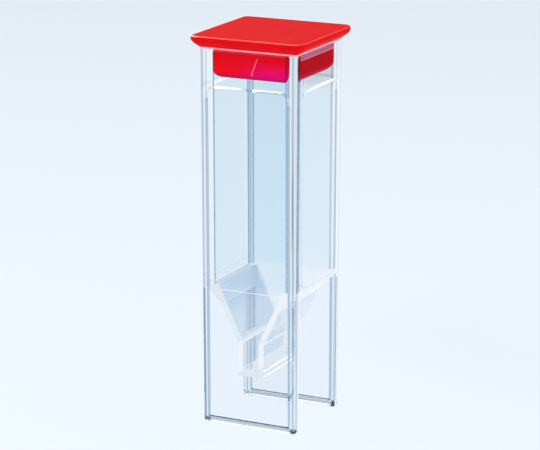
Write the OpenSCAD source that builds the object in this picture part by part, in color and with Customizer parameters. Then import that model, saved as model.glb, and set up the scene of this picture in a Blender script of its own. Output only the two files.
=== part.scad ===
// Capped micro cuvette: a clear square cell with a V-shaped funnel, a narrow
// measuring channel and two open legs, closed by a square push-in cap.
// Millimetres, +Z up, origin on the floor under the middle of the cell.
// The two plates that the light passes through face -Y and +Y.

/* [Cell] */
// Outside width of the square cell at its rim
cell_w = 12.5; // [10:0.05:15]
// Height of the cell from its feet to its rim
cell_h = 45; // [36:0.5:60]
// How much slimmer the cell is at its foot than at its rim, on each side
cell_slim = 0.22; // [0.05:0.01:0.25]
// Thickness of the tube's wall at the mouth
rim_wall = 1.13; // [1:0.01:1.5]
// Radius of the upright outer corners at the foot
corner_r = 0.45; // [0.42:0.01:0.7]
// Rounding of the lower outer edges of the legs
foot_round = 0.4; // [0.1:0.05:0.4]
// Rounding of the inner edges of the legs
leg_round = 0.25; // [0.1:0.05:0.3]
// Bevel on the outer edge of the rim
rim_bevel = 0.15; // [0.05:0.01:0.25]

/* [Cavity] */
// How much slimmer the cavity is at its ledge than at its mouth, on each side
cavity_slim = 0.05; // [0.01:0.01:0.05]
// Radius of the upright inner corners at the mouth
cavity_r = 0.62; // [0.4:0.02:0.9]
// Width of the lead-in bevel at the mouth
lead_in_w = 0.2; // [0.1:0.05:0.4]
// Height of the lead-in bevel at the mouth
lead_in_h = 0.55; // [0.2:0.05:1]
// Height of the ledge on which the tube meets the funnel
ledge_z = 16.9; // [15:0.1:20]
// Width of the ledge on each side of the funnel
ledge_w = 0.97; // [0.6:0.01:1.6]
// Width of the fine step that brings the plates in to the light path
step_w = 0.07; // [0.02:0.01:0.12]
// Drop from the ledge to the fine step
step_drop = 0.55; // [0.3:0.05:1]

/* [Funnel] */
// Thickness of the sloping walls and of the channel's walls
funnel_wall = 0.68; // [0.5:0.02:0.9]
// Slope of the underside between the tube's side walls and the funnel
shoulder_angle = 45; // [35:1:55]

/* [Measuring channel] */
// Inside width of the channel
channel_w = 2; // [1:0.1:4]
// Height of the channel's floor above the feet
channel_floor_z = 7.05; // [6:0.05:8.5]
// Height at which the channel opens into the funnel
channel_top_z = 10.3; // [9.5:0.1:12]
// Thickness of the floor under the channel
channel_base = 0.95; // [0.6:0.05:2]
// Rounding of the channel's lower outside edges
channel_round = 0.4; // [0.1:0.05:0.5]

/* [Windows] */
// Depth of the recessed windows
window_depth = 0.1; // [0.1:0.02:0.25]
// Width of the raised border beside a window of the two plates, at the rim
window_border = 0.87; // [0.7:0.01:1.2]
// Width of the raised border beside a window of the two side walls, at the rim
side_border = 1.5; // [1:0.05:2]
// Width of the sloping edge of a window
window_bevel = 0.35; // [0.2:0.05:0.5]
// Height of the plain collar between the windows and the rim
window_collar = 4.35; // [3:0.05:8]
// Height of the raised border below a window
window_sill = 0.5; // [0.45:0.05:1.2]
// Radius of a window's upper corners
window_top_r = 0.95; // [0.5:0.05:1.5]
// Radius of a window's lower corners
window_low_r = 0.2; // [0.1:0.05:0.5]

/* [Cap] */
// How far the flange's top stands out past the cell
flange_lip = 0.95; // [0.6:0.05:1.6]
// Thickness of the flange
flange_h = 1.35; // [1.25:0.05:2]
// How far the flange overhangs its own underside
flange_overhang = 1; // [0.9:0.05:1.1]
// Radius of the flange's upright corners
flange_corner_r = 1.2; // [1.2:0.05:2]
// Radius of the rounded side of the flange
flange_round = 0.8; // [0.6:0.05:0.8]
// Height of the upright land at the top of the flange
flange_land = 0.22; // [0.15:0.01:0.3]
// Bevel on the flange's top edge
flange_bevel = 0.1; // [0.05:0.01:0.12]
// Depth of the plug below the rim
plug_depth = 3.7; // [2.5:0.1:3.8]
// Radius of the plug's upright corners
plug_corner_r = 0.6; // [0.4:0.05:0.9]
// Rounding of the plug's lower edges
plug_round = 1.3; // [0.5:0.05:1.4]
// How far each side of the plug leans in over its depth
plug_taper = 0.12; // [0.05:0.01:0.2]
// Thickness of the plug's wall
plug_wall = 1.5; // [0.8:0.05:1.6]
// Thickness of the cap's top over the hollow of the plug
cap_top = 1; // [0.8:0.05:1.2]
// Clearance between the plug and the mouth, on each side
plug_gap = 0.05; // [0.02:0.01:0.1]
// Clearance between the flange and the rim
seat_gap = 0.02; // [0.01:0.01:0.05]

/* [Hidden] */
$fn = 64;
// How far a cut runs past the surface that it opens
over = 1;

// Outer faces: half width and lean
rim_half = cell_w / 2;
foot_half = rim_half - cell_slim;
face_lean = atan(cell_slim / cell_h);
cell_core = foot_half - corner_r;
function outer_half(z) = foot_half + cell_slim * z / cell_h;

// Inner faces of the tube
mouth_half = rim_half - rim_wall;
ledge_half = mouth_half - cavity_slim;
cavity_core = mouth_half - cavity_r;
// The light path runs between the inner faces of the two plates
light_half = ledge_half - step_w;
light_path = 2 * light_half;

// Funnel and channel, seen from the front
channel_half = channel_w / 2;
funnel_half = ledge_half - ledge_w;
slope_x = funnel_half - channel_half;
slope_z = ledge_z - channel_top_z;
slope_len = sqrt(slope_x * slope_x + slope_z * slope_z);
function funnel_at(z) = channel_half + slope_x * (z - channel_top_z) / slope_z;

// The outside of the funnel: the inner slope moved out by the wall
out_x = channel_half + funnel_wall * slope_z / slope_len;
out_z = channel_top_z - funnel_wall * slope_x / slope_len;
channel_out = channel_half + funnel_wall;
channel_under_z = channel_floor_z - channel_base;
neck_t = (channel_out - out_x) / slope_x;
neck_z = out_z + neck_t * slope_z;

// The side walls end level with the ledge, and a shoulder runs in from there
wall_end_z = ledge_z;
wall_end_x = outer_half(wall_end_z);
shoulder_run = 1 / tan(shoulder_angle);
bend_t = (wall_end_x - out_x - (wall_end_z - out_z) * shoulder_run) / (slope_x - slope_z * shoulder_run);
bend_x = out_x + bend_t * slope_x;
bend_z = out_z + bend_t * slope_z;
past_x = rim_half + over;
past_z = wall_end_z + (past_x - wall_end_x) / shoulder_run;

// Windows
plate_window_half = rim_half - window_border - window_bevel;
side_window_half = rim_half - side_border - window_bevel;
window_top_z = cell_h - window_collar - window_bevel;

// Cap
seat_z = cell_h + seat_gap;
flange_core = rim_half + flange_lip - flange_corner_r;
flange_under = flange_corner_r - flange_overhang;
flange_round_x = flange_corner_r - flange_round;
flange_round_z = flange_h - flange_land;
plug_half = mouth_half - plug_gap;

// Sweeps a profile round a square: the profile's x is the distance out from the core.
module swept_block(core_x, core_y, z0, z1) {
    translate([-core_x, -core_y, z0]) cube([2 * core_x, 2 * core_y, z1 - z0]);
    for (turn = [0, 180]) {
        rotate([0, 0, turn]) translate([core_x, core_y, 0]) rotate([90, 0, 0])
            linear_extrude(2 * core_y) children();
        rotate([0, 0, turn + 90]) translate([core_y, core_x, 0]) rotate([90, 0, 0])
            linear_extrude(2 * core_x) children();
        rotate([0, 0, turn]) translate([core_x, core_y, 0])
            rotate_extrude(angle = 90) children();
        rotate([0, 0, turn + 90]) translate([core_y, core_x, 0])
            rotate_extrude(angle = 90) children();
    }
}

// Leaning outer face of the cell with its rounded foot and bevelled rim.
module outer_profile() {
    rim_r = corner_r + cell_slim;
    polygon([
        [0, 0],
        [corner_r - foot_round, 0],
        [corner_r, foot_round],
        [rim_r, cell_h - rim_bevel],
        [rim_r - rim_bevel, cell_h],
        [0, cell_h]
    ]);
    intersection() {
        translate([corner_r - foot_round, foot_round]) circle(foot_round);
        polygon([
            [corner_r - foot_round, 0],
            [corner_r - foot_round, -over],
            [corner_r + over, -over],
            [corner_r + over, foot_round],
            [corner_r, foot_round]
        ]);
    }
}

// Leaning inner face of the tube with the lead-in at the mouth.
module cavity_profile() {
    lead_r = cavity_r + lead_in_w;
    polygon([
        [0, ledge_z],
        [cavity_r - cavity_slim, ledge_z],
        [cavity_r, cell_h - lead_in_h],
        [lead_r, cell_h],
        [lead_r + over * lead_in_w / lead_in_h, cell_h + over],
        [0, cell_h + over]
    ]);
}

// Front view of the hollow of funnel and channel, up to a height below the ledge.
module funnel_hollow(top_z) {
    polygon([
        [-channel_half, channel_floor_z],
        [channel_half, channel_floor_z],
        [channel_half, channel_top_z],
        [funnel_at(top_z), top_z],
        [-funnel_at(top_z), top_z],
        [-channel_half, channel_top_z]
    ]);
}

// Front view of the part of the funnel between the fine step and the ledge.
module step_hollow() {
    step_z = ledge_z - step_drop;
    polygon([
        [-funnel_at(step_z), step_z],
        [funnel_at(step_z), step_z],
        [funnel_half, ledge_z],
        [-funnel_half, ledge_z]
    ]);
}

// Front view of the open space round the outside of funnel and channel.
module leg_space() {
    low_x = channel_out - channel_round;
    low_z = channel_under_z + channel_round;
    difference() {
        polygon([
            [-past_x, -over],
            [past_x, -over],
            [past_x, past_z],
            [bend_x, bend_z],
            [channel_out, neck_z],
            [channel_out, low_z],
            [low_x, channel_under_z],
            [-low_x, channel_under_z],
            [-channel_out, low_z],
            [-channel_out, neck_z],
            [-bend_x, bend_z],
            [-past_x, past_z]
        ]);
        for (side = [-1, 1]) translate([side * low_x, low_z]) circle(channel_round);
    }
}

// Cut that rounds an edge along Z: the edge is at the origin, the solid beyond it in +X and +Y.
module edge_cut(r, length) {
    linear_extrude(length) difference() {
        translate([-over, -over]) square(over + r);
        translate([r, r]) circle(r);
    }
}

// Rounds the upright and lower inner edges of the legs.
module leg_edges() {
    top_z = wall_end_z - 2 * leg_round / shoulder_run;
    for (side_x = [0, 1], side_y = [0, 1]) mirror([side_x, 0, 0]) mirror([0, side_y, 0])
        translate([-foot_half, light_half, 0]) rotate([0, -face_lean, 0])
            translate([0, 0, -over]) edge_cut(leg_round, over + top_z);
    for (side_y = [0, 1]) mirror([0, side_y, 0])
        translate([-past_x, light_half, 0]) rotate([90, 0, 90]) edge_cut(leg_round, 2 * past_x);
}

// Cut for one recessed window on a face through the Z axis looking to -Y.
module window_cut(half, low_z) {
    outer = window_bevel * (1 + over / window_depth);
    low_r = window_low_r;
    top_r = window_top_r;
    translate([0, 0, low_z + low_r]) linear_extrude(window_top_z - top_r - low_z - low_r)
        polygon([
            [-half - outer, -over],
            [half + outer, -over],
            [half, window_depth],
            [-half, window_depth]
        ]);
    rotate([90, 0, 90]) linear_extrude(2 * (half - low_r), center = true)
        polygon([
            [-over, low_z - outer],
            [window_depth, low_z],
            [window_depth, low_z + low_r],
            [-over, low_z + low_r]
        ]);
    rotate([90, 0, 90]) linear_extrude(2 * (half - top_r), center = true)
        polygon([
            [-over, window_top_z - top_r],
            [window_depth, window_top_z - top_r],
            [window_depth, window_top_z],
            [-over, window_top_z + outer]
        ]);
    for (side = [-1, 1]) {
        translate([side * (half - low_r), 0, low_z + low_r])
            rotate([-90, side > 0 ? 0 : 90, 0]) window_corner(low_r, outer);
        translate([side * (half - top_r), 0, window_top_z - top_r])
            rotate([-90, side > 0 ? -90 : 180, 0]) window_corner(top_r, outer);
    }
}

// Quarter of a cone: the corner of a window, its axis along Z.
module window_corner(r, outer) {
    rotate_extrude(angle = 90) polygon([
        [0, -over],
        [r + outer, -over],
        [r, window_depth],
        [0, window_depth]
    ]);
}

// Turns a window cut onto one of the four leaning faces.
module on_face(turn) {
    rotate([0, 0, turn]) translate([0, -foot_half, 0]) rotate([face_lean, 0, 0]) children();
}

// Side of the flange: flat underside, sloping then rounded side, short upright land.
module flange_profile() {
    from_x = flange_round_x - flange_under;
    reach = sqrt(from_x * from_x + flange_round_z * flange_round_z);
    slope = atan2(flange_round_z, from_x) - asin(flange_round / reach);
    run = sqrt(reach * reach - flange_round * flange_round);
    touch = [flange_under + run * cos(slope), run * sin(slope)];
    centre = [flange_round_x, flange_round_z];
    polygon([
        [0, 0],
        [flange_under, 0],
        touch,
        centre,
        [flange_corner_r, flange_round_z],
        [flange_corner_r, flange_h - flange_bevel],
        [flange_corner_r - flange_bevel, flange_h],
        [0, flange_h]
    ]);
    intersection() {
        translate(centre) circle(flange_round);
        polygon([
            centre,
            centre + 2 * (touch - centre),
            [flange_corner_r + over, flange_round_z - 2 * flange_round],
            [flange_corner_r + over, flange_round_z]
        ]);
    }
}

// Plan of the plug: a square with rounded corners.
module plug_plan(half, r) {
    square([2 * half, 2 * (half - r)], center = true);
    square([2 * (half - r), 2 * half], center = true);
    for (x = [-1, 1], y = [-1, 1]) translate([x * (half - r), y * (half - r)]) circle(r);
}

// Side view of the plug: sides that lean in to rounded lower edges, its top inside the flange.
module plug_side(half, lean, r) {
    low_z = cell_h - plug_depth;
    top_z = cell_h + flange_h / 2;
    centre_x = half - lean - r;
    centre_z = low_z + r;
    away = [centre_x - half, centre_z - cell_h];
    reach = sqrt(away[0] * away[0] + away[1] * away[1]);
    run = sqrt(reach * reach - r * r);
    line = atan2(away[1], away[0]) + asin(r / reach);
    touch = [half + run * cos(line), cell_h + run * sin(line)];
    for (side = [-1, 1]) {
        polygon([
            [0, low_z],
            [side * centre_x, low_z],
            [side * centre_x, centre_z],
            [side * touch[0], touch[1]],
            [side * half, cell_h],
            [side * half, top_z],
            [0, top_z]
        ]);
        intersection() {
            translate([side * centre_x, centre_z]) circle(r);
            polygon([
                [side * centre_x, centre_z],
                [side * (2 * touch[0] - centre_x), 2 * touch[1] - centre_z],
                [side * (centre_x + 2 * r), centre_z - 2 * r],
                [side * centre_x, centre_z - 2 * r]
            ]);
        }
    }
}

module plug() {
    low_z = cell_h - plug_depth;
    intersection() {
        translate([0, 0, low_z]) linear_extrude(plug_depth + flange_h / 2) plug_plan(plug_half, plug_corner_r);
        rotate([90, 0, 0]) linear_extrude(cell_w, center = true) plug_side(plug_half, plug_taper, plug_round);
        rotate([90, 0, 90]) linear_extrude(cell_w, center = true) plug_side(plug_half, plug_taper, plug_round);
    }
}

module cuvette_body() {
    color([0.86, 0.93, 0.98, 0.4]) difference() {
        swept_block(cell_core, cell_core, 0, cell_h) outer_profile();
        swept_block(cavity_core, cavity_core, ledge_z, cell_h + over) cavity_profile();
        rotate([90, 0, 0]) linear_extrude(light_path, center = true) funnel_hollow(ledge_z);
        rotate([90, 0, 0]) linear_extrude(2 * ledge_half, center = true) step_hollow();
        rotate([90, 0, 0]) linear_extrude(light_path, center = true) leg_space();
        leg_edges();
        for (turn = [0, 180]) on_face(turn)
            window_cut(plate_window_half, window_sill + window_bevel);
        for (turn = [90, 270]) on_face(turn)
            window_cut(side_window_half, wall_end_z + window_sill + window_bevel);
    }
}

module cap() {
    color([0.88, 0.1, 0.1]) difference() {
        union() {
            translate([0, 0, seat_z]) swept_block(flange_core, flange_core, 0, flange_h) flange_profile();
            plug();
        }
        translate([0, 0, cell_h - plug_depth - over])
            linear_extrude(plug_depth + over + seat_gap + flange_h - cap_top)
                plug_plan(plug_half - plug_wall, plug_corner_r / 2);
    }
}

cuvette_body();
cap();
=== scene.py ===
import math

import bpy
from mathutils import Matrix, Vector


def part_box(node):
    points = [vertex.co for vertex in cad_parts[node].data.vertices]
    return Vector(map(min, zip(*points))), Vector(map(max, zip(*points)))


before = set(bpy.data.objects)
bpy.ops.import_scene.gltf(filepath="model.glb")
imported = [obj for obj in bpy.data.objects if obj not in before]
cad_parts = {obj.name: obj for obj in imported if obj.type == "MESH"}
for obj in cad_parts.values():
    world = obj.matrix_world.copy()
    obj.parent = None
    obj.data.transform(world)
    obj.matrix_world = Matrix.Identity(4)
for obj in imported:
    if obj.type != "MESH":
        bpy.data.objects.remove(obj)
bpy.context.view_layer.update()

bl_info = {
    "name": "Capped micro cuvette",
    "version": (1, 0, 0),
    "blender": (4, 5, 0),
    "location": "View3D > Sidebar > Cuvette",
    "description": "Dresses the packed cuvette and its cap, and sets a plain studio round them",
    "category": "Object",
}

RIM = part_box("cuvette_body")[1].z
CAP_LOW, CAP_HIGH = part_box("cap")

# Bands on the cell: lower end, upper end and blur, as heights over the floor in metres
FOOT_BAND = (0.00026, 0.00052, 0.00005)
LOWER_SILL = (0.00051, 0.00061, 0.00004)
UPPER_SILL = (0.00069, 0.00089, 0.00004)
CHANNEL = (0.0072, 0.0101, 0.0001)
SHOULDERS = (0.009, 0.0165, 0.0002)
CREASE = (0.0101, 0.0107, 0.0001)
FUNNEL = (0.0106, 0.03, 0.0001)
STEP_LINE = (0.01629, 0.01637, 0.00002)
SIDE_SILL = (0.0174, 0.018, 0.0001)
WINDOW_CORNERS = (RIM - 0.0059, RIM - 0.0043, 0.0002)
WALL_HEAD = (RIM - 0.0047, RIM - 0.0043, 0.0001)
PLATE_HEAD = (RIM - 0.00441, RIM - 0.0043, 0.00003)
LIP = (RIM - 0.001, RIM - 0.00092, 0.00004)
MOUTH_BAND = (RIM - 0.00088, RIM - 0.0005, 0.00004)

# Bands beside the windows: nearer end, farther end and blur, in metres from the cell's middle
PLATE_POST_LINE = (0.00514, 0.00534, 0.00005)
WALL_POST_LINE = (0.00448, 0.00468, 0.00005)

# Heights between which a finish of the cell comes in or goes out
CORNER_SPOT_TOP = (0.0005, 0.0009)
LEDGE_START = (0.01, 0.012)
FUNNEL_FADE = (0.0125, 0.0155)
PLATE_TONE_START = (0.0168, 0.0176)
POST_LINE_START = (RIM - 0.0064, RIM - 0.0061)
RIM_START = (RIM - 0.00019, RIM - 0.00013)

# Distances from the cell's middle between which a finish of the cell comes in or goes out
MIDDLE = (-0.001, 0.001)
RIGHT_SLOPE = (-0.0005, 0.0005)
CHANNEL_LEFT = (-0.0009, -0.0008)
CHANNEL_WALL = (0.0012, 0.0013)
MOUTH_SIDE = (0.0043, 0.0045)
CORNER_SPOT_X = (0.0050, 0.0055)
CORNER_SPOT_Y = (0.0054, 0.0057)
CORNER_SPOT_SHIFT = 0.0003
INNER_CORNER = (0.0052, 0.0054)
INNER_PLATE = (0.0052, 0.0053)
INNER_WALL = (0.0053, 0.0054)
OUTER_WALL = (0.0055, 0.0056)
POST = (0.0055, 0.0057)

# How far a face has to turn before a finish comes in: parts of its normal, or products of two parts
FLAT_FACE = (0.9, 0.97)
LEVEL_FACE = (0.9, 0.98)
RIM_TOP_FACE = (0.8, 0.95)
CREASE_FACE = (0.3, 0.5)
EDGE_TURN = (0.03, 0.12)
ROUND_TURN = (0.3, 0.45)
SILL_LEAN = (0.04, 0.2)
HEAD_LEAN = (0.1, 0.2)
SLOPE_LEAN = (0.3, 0.36)
SHOULDER_LEAN = (0.44, 0.48)

# Noise level above which a corner of the feet takes a painted dark spot
CORNER_SPOT_NOISE = (0.36, 0.44)

# Share of each zone of the cell in the painted edge shade, in the roughness and in the opaque frost,
# which paints highlights, reflections and dark spots
EDGE_SHADE_SHARES = {"upright_edge_shade": 0.9, "post_shade_lines": 0.6, "foot_shade_band": 1.0}
ROUGH_SHARES = {
    "near_rim": 0.5,
    "ledges": 0.3,
    "wall_heads": 0.35,
    "side_sills": 0.35,
    "crease": 0.4,
    "slopes": 0.12,
    "shoulders": 0.4,
    "plate_heads": 0.3,
}
FROST_SHARES = {"near_rim": 0.8, "mouth": 0.7, "lip_highlight": 0.4, "corner_shade_spots": 0.9, "step_highlight": 0.6}
POLISH = 0.005
DUST_HAZE = 0.02

# Heights on the cap between which one of its colours gives way to another
PLUG_HEM = (CAP_LOW.z + 0.0001, CAP_LOW.z + 0.0007)
PLUG_FOOT = (CAP_LOW.z + 0.0003, CAP_LOW.z + 0.0028)
STREAK_END = (CAP_LOW.z + 0.0026, CAP_LOW.z + 0.0029)
FLANGE_START = (RIM - 0.0001, RIM)
FLANGE_FOOT = (RIM + 0.0003, RIM + 0.0013)
SIDE_GLINT = (CAP_HIGH.z - 0.0004, CAP_HIGH.z - 0.0002)
TOP_EDGE = (CAP_HIGH.z - 0.00016, CAP_HIGH.z - 0.00008)

# Places across the cap, in metres from its middle
PLUG_FOOT_SIDE = (-0.003, 0.003)
PLUG_FRONT = (-0.001, 0.0)
LEFT_END = (-0.0067, -0.0054)
LEFT_EDGE = (CAP_LOW.x + 0.00025, CAP_LOW.x + 0.0005)
RIGHT_EDGE = (CAP_HIGH.x - 0.0006, CAP_HIGH.x - 0.0004)

# The fine pale streak on the plug: its foot, its lean, and its band with the blur
STREAK_X = -0.0002
STREAK_LEAN = 0.42
STREAK_BAND = (-0.00003, 0.00003, 0.00003)

# How far the cap's faces have to turn before a colour comes in
PLUG_SIDE_FACE = (0.6, 0.95)
PLUG_FRONT_FACE = (0.8, 0.9)
SLANT_START = (0.3, 0.55)
SLANT_END = (0.85, 0.97)

# The dome's colours from below the horizon to overhead, and the heights between which they change
DOME_UNDER = (0.88, 0.92, 0.97)
DOME_LAYERS = (
    ((-0.06, -0.02), (0.78, 0.86, 0.92)),
    ((0.10, 0.20), (0.78, 0.83, 0.88)),
    ((0.35, 0.65), (0.95, 0.95, 0.95)),
)
# Cards under the horizon, which only mirror images reach: direction, half width in degrees and colour.
# Two grey ones serve the posts, a mauve one the mouth, and a small black one and a small red one keep
# glare off the side wall in front of the plug
CARDS = (
    (Vector((0.541, 0.802, -0.255)).normalized(), 6.5, (0.42, 0.55, 0.68)),
    (Vector((0.48, 0.865, -0.146)).normalized(), 2.3, (0.42, 0.55, 0.68)),
    (Vector((0.553, 0.561, -0.617)).normalized(), 1.8, (0.45, 0.11, 0.24)),
    (Vector((0.4127, 0.8903, -0.1925)).normalized(), 0.7, (0.0, 0.0, 0.0)),
    (Vector((0.8196, 0.56, -0.1211)).normalized(), 0.36, (0.7, 0.01, 0.02)),
)
CARD_OUTSIDE = 1.2
CARD_INSIDE = 0.8

MID_HEIGHT = Vector((0.0, 0.0, 0.5 * RIM))
AIM_LEFT = 0.00013
AIM_UP = 0.0007
SENSOR_WIDTH = 36.0
FLOOR_HALF = 3.0
SOFTBOX_DISTANCE = 0.8
BOUNCES = 48

COLOUR_RANGE = {"size": 3, "min": 0.0, "max": 1.0}


class Wire:
    """A node socket that can stand in a Python expression: each operator adds the Math node for it."""

    def __init__(self, bench, socket):
        self.bench = bench
        self.socket = socket

    def _math(self, operation, first, second):
        return self.bench.node("ShaderNodeMath", {"operation": operation}, {0: first, 1: second})

    def __add__(self, other):
        return self._math("ADD", self, other)

    def __radd__(self, other):
        return self._math("ADD", other, self)

    def __sub__(self, other):
        return self._math("SUBTRACT", self, other)

    def __rsub__(self, other):
        return self._math("SUBTRACT", other, self)

    def __mul__(self, other):
        return self._math("MULTIPLY", self, other)

    def __rmul__(self, other):
        return self._math("MULTIPLY", other, self)

    def __pow__(self, other):
        return self._math("POWER", self, other)

    def __rpow__(self, other):
        return self._math("POWER", other, self)


class NodeBench:
    """Builds the nodes of one material or of the dome."""

    def __init__(self, owner):
        owner.use_nodes = True
        self.owner = owner
        self.tree = owner.node_tree
        self.tree.nodes.clear()

    def node(self, kind, settings=None, sockets=None, output=0):
        """Adds a node: its settings first, then the values or links of its sockets; gives one output."""
        made = self.tree.nodes.new(kind)
        for key, value in (settings or {}).items():
            setattr(made, key, value)
        for key, value in (sockets or {}).items():
            if isinstance(value, Wire):
                self.tree.links.new(value.socket, made.inputs[key])
            else:
                made.inputs[key].default_value = value
        if len(made.outputs) == 0:
            return None
        return Wire(self, made.outputs[output])

    def split(self, vector):
        """The x, y and z of a vector."""
        return [self.node("ShaderNodeSeparateXYZ", {}, {0: vector}, output=axis) for axis in range(3)]

    def sizes(self, vector):
        """The x, y and z of a vector without their signs."""
        return self.split(self.node("ShaderNodeVectorMath", {"operation": "ABSOLUTE"}, {0: vector}))

    def place(self):
        """The point on the piece, in metres of the shared frame."""
        return self.node("ShaderNodeTexCoord", output="Object")

    def spot(self):
        """Where the point lies along x, y and z, in metres."""
        return self.split(self.place())

    def reach(self):
        """How far the point lies from the cell's middle along x and y, and its height, in metres."""
        return self.sizes(self.place())

    def facing(self):
        """How far the surface faces along x, y and z, each from 0 to 1."""
        return self.sizes(self.node("ShaderNodeTexCoord", output="Normal"))

    def noise(self, scale, detail=2.0, stretch=(1.0, 1.0, 1.0)):
        """Soft random spots, about 1 / scale metres across, from 0 to 1."""
        spot = self.node(
            "ShaderNodeMapping",
            {"vector_type": "POINT"},
            {"Vector": self.place(), "Scale": stretch},
        )
        return self.node(
            "ShaderNodeTexNoise",
            {"noise_dimensions": "3D"},
            {"Vector": spot, "Scale": scale, "Detail": detail, "Roughness": 0.5},
        )

    def ramp_up(self, value, low, high):
        """0 below low, 1 above high, and a smooth way between."""
        return self.node(
            "ShaderNodeMapRange",
            {"interpolation_type": "SMOOTHSTEP"},
            {"Value": value, "From Min": low, "From Max": high},
        )

    def ramp_down(self, value, low, high):
        """1 below low, 0 above high, and a smooth way between."""
        return 1.0 - self.ramp_up(value, low, high)

    def within(self, value, low, high, blur):
        """1 between low and high, 0 outside, with soft ends."""
        above = self.ramp_up(value, low - blur, low + blur)
        return above * self.ramp_down(value, high - blur, high + blur)

    def towards(self, direction, side, far, near):
        """1 where a direction lies within near degrees of a side, 0 beyond far degrees."""
        share = self.node(
            "ShaderNodeVectorMath",
            {"operation": "DOT_PRODUCT"},
            {0: direction, 1: side},
            output="Value",
        )
        return self.ramp_up(share, math.cos(math.radians(far)), math.cos(math.radians(near)))

    def blend(self, share, first, second):
        """A colour between two colours."""
        return self.node(
            "ShaderNodeMix",
            {"data_type": "RGBA", "blend_type": "MIX"},
            {"Factor": share, 6: first, 7: second},
            output=2,
        )

    def paint(self, base, layers):
        """Lays colours over a base one after the other, each by its share."""
        for share, colour in layers:
            base = self.blend(share, base, with_alpha(colour))
        return base

    def bump(self, height, distance, strength):
        """A normal that follows the height."""
        return self.node(
            "ShaderNodeBump",
            {},
            {"Strength": strength, "Distance": distance, "Height": height},
        )

    def principled(self, sockets):
        """A Principled surface with these sockets."""
        return self.node("ShaderNodeBsdfPrincipled", {}, sockets)

    def finish(self, shader):
        """Ends the material in this shader."""
        self.node("ShaderNodeOutputMaterial", {}, {"Surface": shader})
        return self.owner


def with_alpha(colour):
    """A colour with full alpha."""
    return (colour[0], colour[1], colour[2], 1.0)


def weigh(zones, shares):
    """Adds up the named zones, each times its share."""
    parts = [share * zones[name] for name, share in shares.items()]
    total = parts[0]
    for part in parts[1:]:
        total = total + part
    return total


def direction_from(turn, tilt):
    """The direction that lies a turn to the right of the front plate and a tilt above level."""
    return Vector((
        math.sin(turn) * math.cos(tilt),
        -math.cos(turn) * math.cos(tilt),
        math.sin(tilt),
    ))


class ClearPlasticLook(bpy.types.PropertyGroup):
    """Finish of the clear moulded cell."""

    tint: bpy.props.FloatVectorProperty(
        name="Tint",
        description="Colour of the clear plastic",
        subtype="COLOR",
        default=(0.94, 0.955, 0.972),
        **COLOUR_RANGE,
    )
    cloud: bpy.props.FloatVectorProperty(
        name="Cloud",
        description="Colour of the faint clouds in the clear plastic",
        subtype="COLOR",
        default=(0.925, 0.942, 0.962),
        **COLOUR_RANGE,
    )
    plate: bpy.props.FloatVectorProperty(
        name="Plate tone",
        description="Colour of the two plates that the light passes through, above the funnel",
        subtype="COLOR",
        default=(0.838, 0.917, 0.962),
        **COLOUR_RANGE,
    )
    wall: bpy.props.FloatVectorProperty(
        name="Side wall tone",
        description="Colour of the two side walls",
        subtype="COLOR",
        default=(0.965, 0.978, 0.99),
        **COLOUR_RANGE,
    )
    # Painted reflection of the red cap in the band under the rim, and faintly on the ledges
    cap_reflection: bpy.props.FloatVectorProperty(
        name="Mouth tone",
        description="Colour of the band under the rim, where the red of the cap shows in the side walls",
        subtype="COLOR",
        default=(0.5, 0.14, 0.28),
        **COLOUR_RANGE,
    )
    # Painted highlight: the frost makes the rim a pale pink line
    rim: bpy.props.FloatVectorProperty(
        name="Rim tone",
        description="Colour of the frosted rim round the mouth",
        subtype="COLOR",
        default=(0.96, 0.9, 0.93),
        **COLOUR_RANGE,
    )
    # Painted reflection of the red cap on the rim's outer side
    rim_side_reflection: bpy.props.FloatVectorProperty(
        name="Rim side tone",
        description="Colour of the rim's outer side, where the red of the cap shows in it",
        subtype="COLOR",
        default=(0.98, 0.42, 0.53),
        **COLOUR_RANGE,
    )
    # Painted shade: dark lines where faces turn a corner, up the posts and along the foot band
    edge: bpy.props.FloatVectorProperty(
        name="Edge tone",
        description="Colour of the clear plastic where a face turns a corner",
        subtype="COLOR",
        default=(0.19, 0.32, 0.46),
        **COLOUR_RANGE,
    )
    # Painted shade on the funnel's leaning walls and in its channel
    slope: bpy.props.FloatVectorProperty(
        name="Slope tone",
        description="Colour of the clear plastic on the leaning walls of the funnel",
        subtype="COLOR",
        default=(0.57, 0.69, 0.83),
        **COLOUR_RANGE,
    )
    # Painted shade: the dark lines on the window sills and the dark spots at the corners of the feet
    shade: bpy.props.FloatVectorProperty(
        name="Sill tone",
        description="Darkest colour of the plastic, on the window sills and at the corners of the feet",
        subtype="COLOR",
        default=(0.02, 0.03, 0.04),
        **COLOUR_RANGE,
    )
    bend: bpy.props.FloatProperty(
        name="Index of refraction",
        description="How strongly the plastic bends light",
        default=1.59,
        min=1.3,
        max=1.8,
    )
    ripple: bpy.props.FloatProperty(
        name="Ripple",
        description="Height of the faint waves that moulding leaves on the faces",
        subtype="DISTANCE",
        unit="LENGTH",
        default=0.00001,
        min=0.0,
        max=0.0001,
    )


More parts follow.
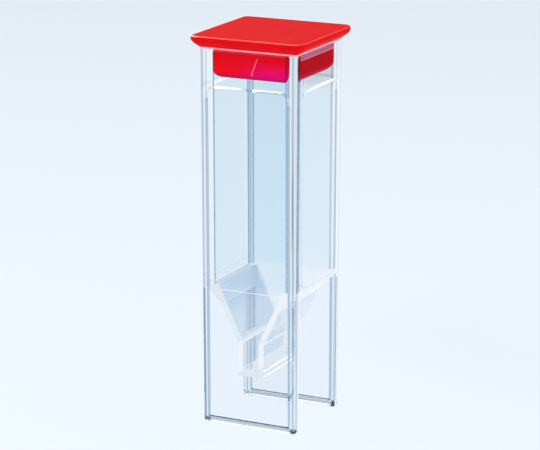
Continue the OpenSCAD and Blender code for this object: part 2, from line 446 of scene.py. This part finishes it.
class CapLook(bpy.types.PropertyGroup):
    """Finish of the red cap."""

    colour: bpy.props.FloatVectorProperty(
        name="Colour",
        description="Colour of the cap's plastic",
        subtype="COLOR",
        default=(0.58, 0.004, 0.005),
        **COLOUR_RANGE,
    )
    deep: bpy.props.FloatVectorProperty(
        name="Deep colour",
        description="Darker colour in the faint flow marks of the cap",
        subtype="COLOR",
        default=(0.54, 0.003, 0.005),
        **COLOUR_RANGE,
    )
    # The plug's thin wall lets some light through; its brighter red is also painted light that lifts the
    # shade under the flange
    plug: bpy.props.FloatVectorProperty(
        name="Plug colour",
        description="Colour of the thin-walled plug, which lets some light through",
        subtype="COLOR",
        default=(0.83, 0.001, 0.009),
        **COLOUR_RANGE,
    )
    # Painted shade on the plug's sides
    plug_side_shade: bpy.props.FloatVectorProperty(
        name="Plug side colour",
        description="Deeper colour on the sides of the plug",
        subtype="COLOR",
        default=(0.41, 0.001, 0.005),
        **COLOUR_RANGE,
    )
    # Painted reflection: a cool magenta low on the plug, towards its right
    plug_foot_reflection: bpy.props.FloatVectorProperty(
        name="Plug foot colour",
        description="Cooler colour low on the plug",
        subtype="COLOR",
        default=(0.78, 0.001, 0.15),
        **COLOUR_RANGE,
    )
    # Painted reflection: purple on the plug's rounded lower edge
    hem_reflection: bpy.props.FloatVectorProperty(
        name="Plug hem colour",
        description="Purple colour on the plug's rounded lower edge",
        subtype="COLOR",
        default=(0.32, 0.003, 0.11),
        **COLOUR_RANGE,
    )
    # Painted highlight along the cap's top edge, fainter on the right
    edge: bpy.props.FloatVectorProperty(
        name="Edge colour",
        description="Paler colour along the cap's top edge",
        subtype="COLOR",
        default=(0.95, 0.22, 0.16),
        **COLOUR_RANGE,
    )
    # Painted highlight along the cap's left top edge; also the colour of the fine pale streak on the plug
    glint: bpy.props.FloatVectorProperty(
        name="Glint colour",
        description="Palest colour, along the cap's left top edge and in the fine scratch on the plug",
        subtype="COLOR",
        default=(1.0, 0.72, 0.72),
        **COLOUR_RANGE,
    )
    gloss: bpy.props.FloatProperty(
        name="Roughness",
        description="Mean roughness of the cap's skin",
        subtype="FACTOR",
        default=0.58,
        min=0.0,
        max=1.0,
    )


class StudioLook(bpy.types.PropertyGroup):
    """The plain floor, the soft light and the camera."""

    floor: bpy.props.FloatVectorProperty(
        name="Floor colour",
        description="Colour of the plain pale floor",
        subtype="COLOR",
        default=(0.65, 0.70, 0.745),
        **COLOUR_RANGE,
    )
    dome: bpy.props.FloatProperty(
        name="Dome light",
        description="Strength of the even light from all round",
        default=1.0,
        min=0.0,
        max=5.0,
    )
    turn: bpy.props.FloatProperty(
        name="Camera turn",
        description="Angle of the camera to the right of the front plate",
        subtype="ANGLE",
        unit="ROTATION",
        default=math.radians(25.94),
    )
    tilt: bpy.props.FloatProperty(
        name="Camera tilt",
        description="Angle of the camera above level",
        subtype="ANGLE",
        unit="ROTATION",
        default=math.radians(14.81),
    )
    distance: bpy.props.FloatProperty(
        name="Camera distance",
        description="Distance from the camera to the point that it aims at",
        subtype="DISTANCE",
        unit="LENGTH",
        default=0.29257,
    )
    lens: bpy.props.FloatProperty(
        name="Lens",
        description="Focal length on a 36 mm sensor, in millimetres",
        default=166.39,
        min=10.0,
        max=500.0,
    )


class CuvetteSettings(bpy.types.PropertyGroup):
    """Everything that a user may change."""

    plastic: bpy.props.PointerProperty(type=ClearPlasticLook)
    cap: bpy.props.PointerProperty(type=CapLook)
    studio: bpy.props.PointerProperty(type=StudioLook)


def cell_zones(bench, dust_and_spot_noise):
    """Where each finish of the cell lies: masks from 0 to 1, by name."""
    across, along, upward = bench.facing()
    out_x, out_y, height = bench.reach()
    spot_x, spot_y, _ = bench.spot()
    left = bench.ramp_down(spot_x, *MIDDLE)
    back = bench.ramp_up(spot_y, *MIDDLE)
    plates = bench.ramp_up(along, *FLAT_FACE)
    walls = bench.ramp_up(across, *FLAT_FACE)
    outer_walls = walls * bench.ramp_up(out_x, *OUTER_WALL)
    inner_walls = walls * bench.ramp_down(out_x, *INNER_WALL)

    # Upright edges take a painted shade that fades on broad roundings and at the windows' upper corners,
    # but not along the posts
    turning = across * along
    upright_edge_shade = bench.ramp_up(turning, *EDGE_TURN) * (1.0 - 0.6 * bench.ramp_up(turning, *ROUND_TURN))
    at_post = bench.ramp_up(out_x, *POST) * bench.ramp_up(out_y, *POST)
    at_inner_corner = bench.ramp_down(out_x, *INNER_CORNER) * bench.ramp_down(out_y, *INNER_CORNER)
    window_corners = bench.within(height, *WINDOW_CORNERS) * (1.0 - at_post - at_inner_corner)
    upright_edge_shade = upright_edge_shade * (1.0 - 0.85 * window_corners)
    # Painted shade lines up the posts, above the windows' upper corners
    post_shade_lines = plates * bench.within(out_x, *PLATE_POST_LINE)
    post_shade_lines = post_shade_lines + outer_walls * bench.within(out_y, *WALL_POST_LINE)
    post_shade_lines = post_shade_lines * bench.ramp_up(height, *POST_LINE_START)

    # Painted shade on the funnel's leaning walls, paler on the right and towards their foot, and on the
    # channel's left wall
    slopes = bench.ramp_up(across * upward, *SLOPE_LEAN) * bench.within(height, *FUNNEL)
    slopes = slopes * (1.0 - 0.6 * bench.ramp_up(spot_x, *RIGHT_SLOPE))
    slopes = slopes * (0.5 + 0.5 * bench.ramp_up(height, *FUNNEL_FADE))
    channel = walls * bench.within(height, *CHANNEL)
    channel = channel * bench.ramp_down(spot_x, *CHANNEL_LEFT) * bench.ramp_down(out_x, *CHANNEL_WALL)
    # Painted highlight: a thin pale frosted line on the plates' inner faces at the step
    step_highlight = plates * bench.ramp_down(out_y, *INNER_PLATE) * bench.within(height, *STEP_LINE)
    step_highlight = step_highlight * (1.0 - 0.7 * back)

    # The feet: painted shade on the window sills, a painted shade band along the plates and painted dark
    # spots at the corners
    sills = 0.8 * bench.within(height, *LOWER_SILL) + bench.within(height, *UPPER_SILL)
    sills = sills * bench.ramp_up(along * upward, *SILL_LEAN)
    foot_shade_band = plates * bench.within(height, *FOOT_BAND) * (0.6 + 0.25 * back)
    at_corner = bench.ramp_up(out_x + CORNER_SPOT_SHIFT * left, *CORNER_SPOT_X) * bench.ramp_up(out_y, *CORNER_SPOT_Y)
    at_corner = at_corner * (1.0 - 0.8 * left * back)
    corner_shade_spots = at_corner * bench.ramp_down(height, *CORNER_SPOT_TOP) * bench.ramp_up(dust_and_spot_noise, *CORNER_SPOT_NOISE)

    # Under the rim the inner walls take a painted reflection of the red cap in a band, with a painted
    # highlight line below it
    at_mouth = inner_walls * bench.ramp_down(out_y, *MOUTH_SIDE)
    # Painted highlight on the frosted rim, with a painted reflection of the red cap on its outer side
    near_rim = bench.ramp_up(height, *RIM_START)
    return {
        "walls": walls,
        "tall_plates": plates * bench.ramp_up(height, *PLATE_TONE_START),
        "upright_edge_shade": upright_edge_shade,
        "post_shade_lines": post_shade_lines,
        "slopes": slopes,
        "channel": channel,
        "step_highlight": step_highlight,
        "sills": sills,
        "foot_shade_band": foot_shade_band,
        "corner_shade_spots": corner_shade_spots,
        "mouth": at_mouth * bench.within(height, *MOUTH_BAND),
        "lip_highlight": at_mouth * bench.within(height, *LIP),
        "near_rim": near_rim,
        "rim_side_reflection": near_rim * bench.ramp_down(upward, *RIM_TOP_FACE),
        "ledges": bench.ramp_up(upward, *LEVEL_FACE) * bench.ramp_up(height, *LEDGE_START),
        "wall_heads": bench.within(height, *WALL_HEAD) * bench.ramp_up(across * upward, *HEAD_LEAN),
        "plate_heads": bench.within(height, *PLATE_HEAD) * bench.ramp_up(along * upward, *HEAD_LEAN),
        "side_sills": bench.within(height, *SIDE_SILL) * bench.ramp_up(across * upward, *HEAD_LEAN),
        "crease": bench.within(height, *CREASE) * bench.ramp_up(across, *CREASE_FACE),
        "shoulders": bench.ramp_up(across * upward, *SHOULDER_LEAN) * bench.within(height, *SHOULDERS),
    }


def clear_plastic(look):
    """Clear polished plastic with faint clouds and painted shade on its edges, sills and funnel walls,
    and an opaque frost on rim and mouth that paints highlights and reflections of the red cap.
    """
    bench = NodeBench(bpy.data.materials.new("clear_plastic"))
    clouds = bench.noise(scale=160.0, detail=3.0)
    waves = bench.noise(scale=420.0, detail=1.0, stretch=(1.0, 1.0, 0.35))
    dust_and_spot_noise = bench.noise(scale=5200.0)
    specks = bench.noise(scale=2600.0)
    zones = cell_zones(bench, dust_and_spot_noise)
    skin = bench.blend(clouds, with_alpha(look.tint), with_alpha(look.cloud))
    # Painted shade on the edges, post lines, foot band, funnel walls, sills and corner spots
    skin = bench.paint(
        skin,
        (
            (zones["tall_plates"], look.plate),
            (zones["walls"], look.wall),
            (weigh(zones, EDGE_SHADE_SHARES), look.edge),
            (zones["slopes"] + zones["channel"], look.slope),
            (zones["sills"] * (0.6 + 0.8 * specks), look.shade),
            (zones["corner_shade_spots"], look.shade),
            # A faint painted reflection of the red cap on the ledges
            (0.12 * zones["ledges"], look.cap_reflection),
        ),
    )
    polished = bench.principled(
        {
            "Base Color": skin,
            "Roughness": POLISH + DUST_HAZE * dust_and_spot_noise ** 3.0 + weigh(zones, ROUGH_SHARES),
            "IOR": look.bend,
            "Transmission Weight": 1.0,
            "Specular Tint": (0.0, 0.0, 0.0, 1.0),
            "Normal": bench.bump(waves, look.ripple, 0.25),
        }
    )
    # Colour of the opaque frost: painted highlight on the rim and under the mouth, painted reflections of
    # the red cap, painted dark spots at the feet
    frost_with_painted_light = bench.paint(
        with_alpha(look.rim),
        (
            (zones["rim_side_reflection"], look.rim_side_reflection),
            (zones["mouth"], look.cap_reflection),
            (zones["corner_shade_spots"], look.shade),
        ),
    )
    frosted = bench.principled({"Base Color": frost_with_painted_light, "Roughness": 0.6, "IOR": look.bend})
    share = weigh(zones, FROST_SHARES)
    return bench.finish(bench.node("ShaderNodeMixShader", {}, {0: share, 1: polished, 2: frosted}))


def plug_colour(bench, look):
    """The plug's colours: a brighter red as painted light, a painted cool reflection towards its foot,
    painted shade on its sides, a painted purple reflection on its hem, and a fine pale streak.
    """
    across, along, _ = bench.facing()
    spot_x, spot_y, height = bench.spot()
    # Painted reflection: cooler low on the plug, towards its right
    low = bench.ramp_down(height, *PLUG_FOOT) * bench.ramp_up(spot_x, *PLUG_FOOT_SIDE)
    hem_reflection = bench.ramp_down(height, *PLUG_HEM)
    streak_x = STREAK_X + STREAK_LEAN * (height - CAP_LOW.z)
    streak = bench.within(spot_x - streak_x, *STREAK_BAND)
    streak = streak * bench.ramp_down(spot_y, *PLUG_FRONT) * bench.ramp_up(along, *PLUG_FRONT_FACE)
    streak = streak * bench.ramp_down(height, *STREAK_END)
    return bench.paint(
        with_alpha(look.plug),
        (
            (low, look.plug_foot_reflection),
            # Painted shade on the plug's sides
            (bench.ramp_up(across, *PLUG_SIDE_FACE), look.plug_side_shade),
            # Painted purple reflection on the plug's hem
            ((0.75 + 0.25 * across) * hem_reflection, look.hem_reflection),
            (0.5 * streak, look.glint),
        ),
    )


def cap_plastic(look):
    """Red moulded plastic: a soft gloss with faint flow marks, a fine grain and painted highlights along
    its top edges.
    """
    bench = NodeBench(bpy.data.materials.new("cap_plastic"))
    flow = bench.noise(scale=240.0, detail=3.0, stretch=(1.0, 0.45, 1.0))
    grain = bench.noise(scale=9000.0)
    upward = bench.facing()[2]
    spot_x, _, height = bench.spot()
    slanting = bench.ramp_up(upward, *SLANT_START) * bench.ramp_down(upward, *SLANT_END)
    top_edge_highlight = bench.ramp_up(height, *TOP_EDGE) * slanting
    left_edge_highlight = bench.ramp_down(spot_x, *LEFT_EDGE) * bench.ramp_up(height, *SIDE_GLINT)
    skin = bench.blend(flow, with_alpha(look.colour), with_alpha(look.deep))
    # The flange's foot takes the plug's brighter red: painted light against the shade low on the flange
    skin = bench.blend(0.85 * bench.ramp_down(height, *FLANGE_FOOT), skin, with_alpha(look.plug))
    skin = bench.blend(bench.ramp_up(height, *FLANGE_START), plug_colour(bench, look), skin)
    # Painted highlights along the cap's top edges and its left edge
    skin = bench.paint(
        skin,
        (
            (0.6 * top_edge_highlight * (1.0 - 0.6 * bench.ramp_up(spot_x, *RIGHT_EDGE)), look.edge),
            (0.9 * top_edge_highlight * bench.ramp_down(spot_x, *LEFT_END), look.glint),
            (0.8 * left_edge_highlight, look.glint),
        ),
    )
    shader = bench.principled(
        {
            "Base Color": skin,
            "Roughness": look.gloss - 0.06 + 0.12 * flow + 0.05 * grain,
            "IOR": 1.4,
            "Specular IOR Level": 0.04,
            "Subsurface Weight": 0.4,
            "Subsurface Radius": (1.0, 0.15, 0.12),
            "Subsurface Scale": 0.0012,
            "Normal": bench.bump(grain, 0.00001, 0.15),
        }
    )
    return bench.finish(shader)


def floor_paint(look):
    """Plain pale floor with an almost unseen mottle."""
    bench = NodeBench(bpy.data.materials.new("studio_floor"))
    mottle = bench.noise(scale=6.0)
    pale = look.floor
    shade = (pale[0] * 0.985, pale[1] * 0.99, pale[2] * 0.995)
    shader = bench.principled(
        {
            "Base Color": bench.blend(mottle, with_alpha(pale), with_alpha(shade)),
            "Roughness": 0.85 + 0.1 * mottle,
            "Specular IOR Level": 0.0,
        }
    )
    return bench.finish(shader)


def coat_node(node_name, material):
    """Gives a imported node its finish."""
    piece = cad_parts[node_name]
    piece.data.materials.clear()
    piece.data.materials.append(material)
    return piece


class CUVETTE_OT_cell(bpy.types.Operator):
    """Finish the clear cell, which hardly shades what is behind it"""

    bl_idname = "cuvette.cell"
    bl_label = "Clear cell"

    def execute(self, context):
        cell = coat_node("cuvette_body", clear_plastic(context.scene.cuvette.plastic))
        cell.visible_shadow = False
        cell.visible_diffuse = False
        cell.visible_glossy = False
        return {"FINISHED"}


class CUVETTE_OT_cap(bpy.types.Operator):
    """Finish the red cap"""

    bl_idname = "cuvette.cap"
    bl_label = "Cap"

    def execute(self, context):
        cap = coat_node("cap", cap_plastic(context.scene.cuvette.cap))
        cap.visible_glossy = False
        return {"FINISHED"}


def add_floor(look):
    """A wide plain floor at the height of the feet."""
    mesh = bpy.data.meshes.new("studio_floor")
    corners = [
        (-FLOOR_HALF, -FLOOR_HALF, 0.0),
        (FLOOR_HALF, -FLOOR_HALF, 0.0),
        (FLOOR_HALF, FLOOR_HALF, 0.0),
        (-FLOOR_HALF, FLOOR_HALF, 0.0),
    ]
    mesh.from_pydata(corners, [], [(0, 1, 2, 3)])
    floor = bpy.data.objects.new("studio_floor", mesh)
    bpy.context.scene.collection.objects.link(floor)
    mesh.materials.append(floor_paint(look))
    floor.visible_glossy = False


def add_softbox(name, turn, tilt, width, height, watts):
    """An area light that looks at the middle of the object from a turn and a tilt in degrees."""
    away = direction_from(math.radians(turn), math.radians(tilt))
    lamp = bpy.data.lights.new(name, "AREA")
    lamp.shape = "RECTANGLE"
    lamp.size = width
    lamp.size_y = height
    lamp.energy = watts
    box = bpy.data.objects.new(name, lamp)
    box.location = MID_HEIGHT + SOFTBOX_DISTANCE * away
    box.rotation_euler = away.to_track_quat("Z", "Y").to_euler()
    box.visible_camera = False
    box.visible_glossy = False
    bpy.context.scene.collection.objects.link(box)
    return box


def add_dome(strength):
    """Even pale light from all round, whitest overhead, with the cards below the horizon."""
    dome = bpy.data.worlds.new("studio_dome")
    bench = NodeBench(dome)
    direction = bench.node("ShaderNodeTexCoord", output="Generated")
    height = bench.split(direction)[2]
    layers = [(bench.ramp_up(height, *change), colour) for change, colour in DOME_LAYERS]
    for side, half, colour in CARDS:
        layers.append((bench.towards(direction, side, CARD_OUTSIDE * half, CARD_INSIDE * half), colour))
    light = bench.paint(with_alpha(DOME_UNDER), layers)
    glow = bench.node("ShaderNodeBackground", {}, {"Color": light, "Strength": strength})
    bench.node("ShaderNodeOutputWorld", {}, {"Surface": glow})
    bpy.context.scene.world = dome


def add_camera(look):
    """The photo's view: the aim lies a hair left of and above the cell's middle."""
    back = direction_from(look.turn, look.tilt)
    right = Vector((math.cos(look.turn), math.sin(look.turn), 0.0))
    up = back.cross(right)
    aim = MID_HEIGHT - AIM_LEFT * right + AIM_UP * up
    lens = bpy.data.cameras.new("studio_camera")
    lens.lens = look.lens
    lens.sensor_width = SENSOR_WIDTH
    lens.sensor_fit = "HORIZONTAL"
    lens.clip_start = 0.01
    lens.clip_end = 20.0
    camera = bpy.data.objects.new("studio_camera", lens)
    camera.matrix_world = Matrix((right, up, back)).transposed().to_4x4()
    camera.location = aim + look.distance * back
    bpy.context.scene.collection.objects.link(camera)
    bpy.context.scene.camera = camera


class CUVETTE_OT_studio(bpy.types.Operator):
    """Set the plain floor, the soft light and the camera"""

    bl_idname = "cuvette.studio"
    bl_label = "Studio"

    def execute(self, context):
        scene = context.scene
        look = scene.cuvette.studio
        scene.view_settings.view_transform = "Standard"
        scene.cycles.max_bounces = BOUNCES
        scene.cycles.transmission_bounces = BOUNCES
        scene.cycles.glossy_bounces = BOUNCES
        add_floor(look)
        add_dome(look.dome)
        key = add_softbox("key_softbox", turn=-30.0, tilt=38.0, width=0.6, height=0.6, watts=4.0)
        key.visible_transmission = False
        fill = add_softbox("fill_softbox", turn=95.0, tilt=20.0, width=0.6, height=0.4, watts=2.5)
        fill.visible_transmission = False
        behind = 180.0 + math.degrees(look.turn)
        strip = add_softbox("back_strip", turn=behind, tilt=16.0, width=0.75, height=0.3, watts=1.4)
        strip.visible_diffuse = False
        add_camera(look)
        return {"FINISHED"}


class CUVETTE_PT_panel(bpy.types.Panel):
    """Lists the steps and their settings"""

    bl_idname = "CUVETTE_PT_panel"
    bl_label = "Capped micro cuvette"
    bl_space_type = "VIEW_3D"
    bl_region_type = "UI"
    bl_category = "Cuvette"

    def draw(self, context):
        settings = context.scene.cuvette
        layout = self.layout
        for operator in STEPS:
            layout.operator(operator.bl_idname)
        for group in (settings.plastic, settings.cap, settings.studio):
            column = layout.column(align=True)
            for name in group.__annotations__:
                column.prop(group, name)


STEPS = (CUVETTE_OT_cell, CUVETTE_OT_cap, CUVETTE_OT_studio)
CLASSES = (ClearPlasticLook, CapLook, StudioLook, CuvetteSettings) + STEPS + (CUVETTE_PT_panel,)


def register():
    for made in CLASSES:
        bpy.utils.register_class(made)
    bpy.types.Scene.cuvette = bpy.props.PointerProperty(type=CuvetteSettings)


def unregister():
    del bpy.types.Scene.cuvette
    for made in reversed(CLASSES):
        bpy.utils.unregister_class(made)


def main():
    register()
    bpy.ops.cuvette.cell()
    bpy.ops.cuvette.cap()
    bpy.ops.cuvette.studio()


if __name__ == "__main__":
    main()
